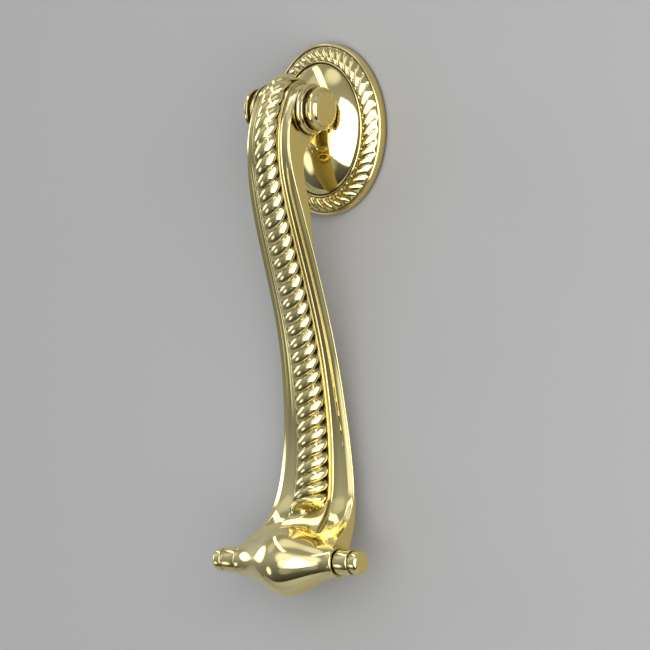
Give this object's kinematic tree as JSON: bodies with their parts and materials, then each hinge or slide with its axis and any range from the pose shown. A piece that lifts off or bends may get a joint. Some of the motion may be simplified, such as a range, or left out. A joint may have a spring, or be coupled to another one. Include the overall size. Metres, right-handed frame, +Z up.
{
  "type": "door knocker",
  "caption": "Brass door knocker: an S-curved roped arm with a bulbous striking bar swings on a pin in an oval rope-edged rose, over a small strike button.",
  "frame": {"origin": "centre of the oval rose's back, on the door's outer face", "axes": "+X to the right across the door, +Y into the door, +Z up; the knocker stands out of the door towards -Y"},
  "size_m": [0.062, 0.0964, 0.19],
  "materials": {
    "polished_brass": "mirror polished and lacquered",
    "turned_brass": "turned, lightly polished",
    "zinc_steel": "bright zinc plated"
  },
  "bodies": {
    "door_side": {"backplate": "polished_brass", "fixing_stud": "zinc_steel", "inside_washer": "turned_brass", "dome_nut": "turned_brass", "strike_button": "turned_brass", "strike_screw": "turned_brass"},
    "arm": {"knocker_arm": "polished_brass", "pivot_pin": "turned_brass", "pivot_cap_right": "polished_brass", "pivot_cap_left": "polished_brass"}
  },
  "joints": [
    {"name": "arm_swing", "type": "hinge", "parent": "door_side", "child": "arm", "pos_m": [0, -0.0238, 0.0063], "axis": [-1, 0, 0], "range_deg": [-1.2, 55]}
  ]
}
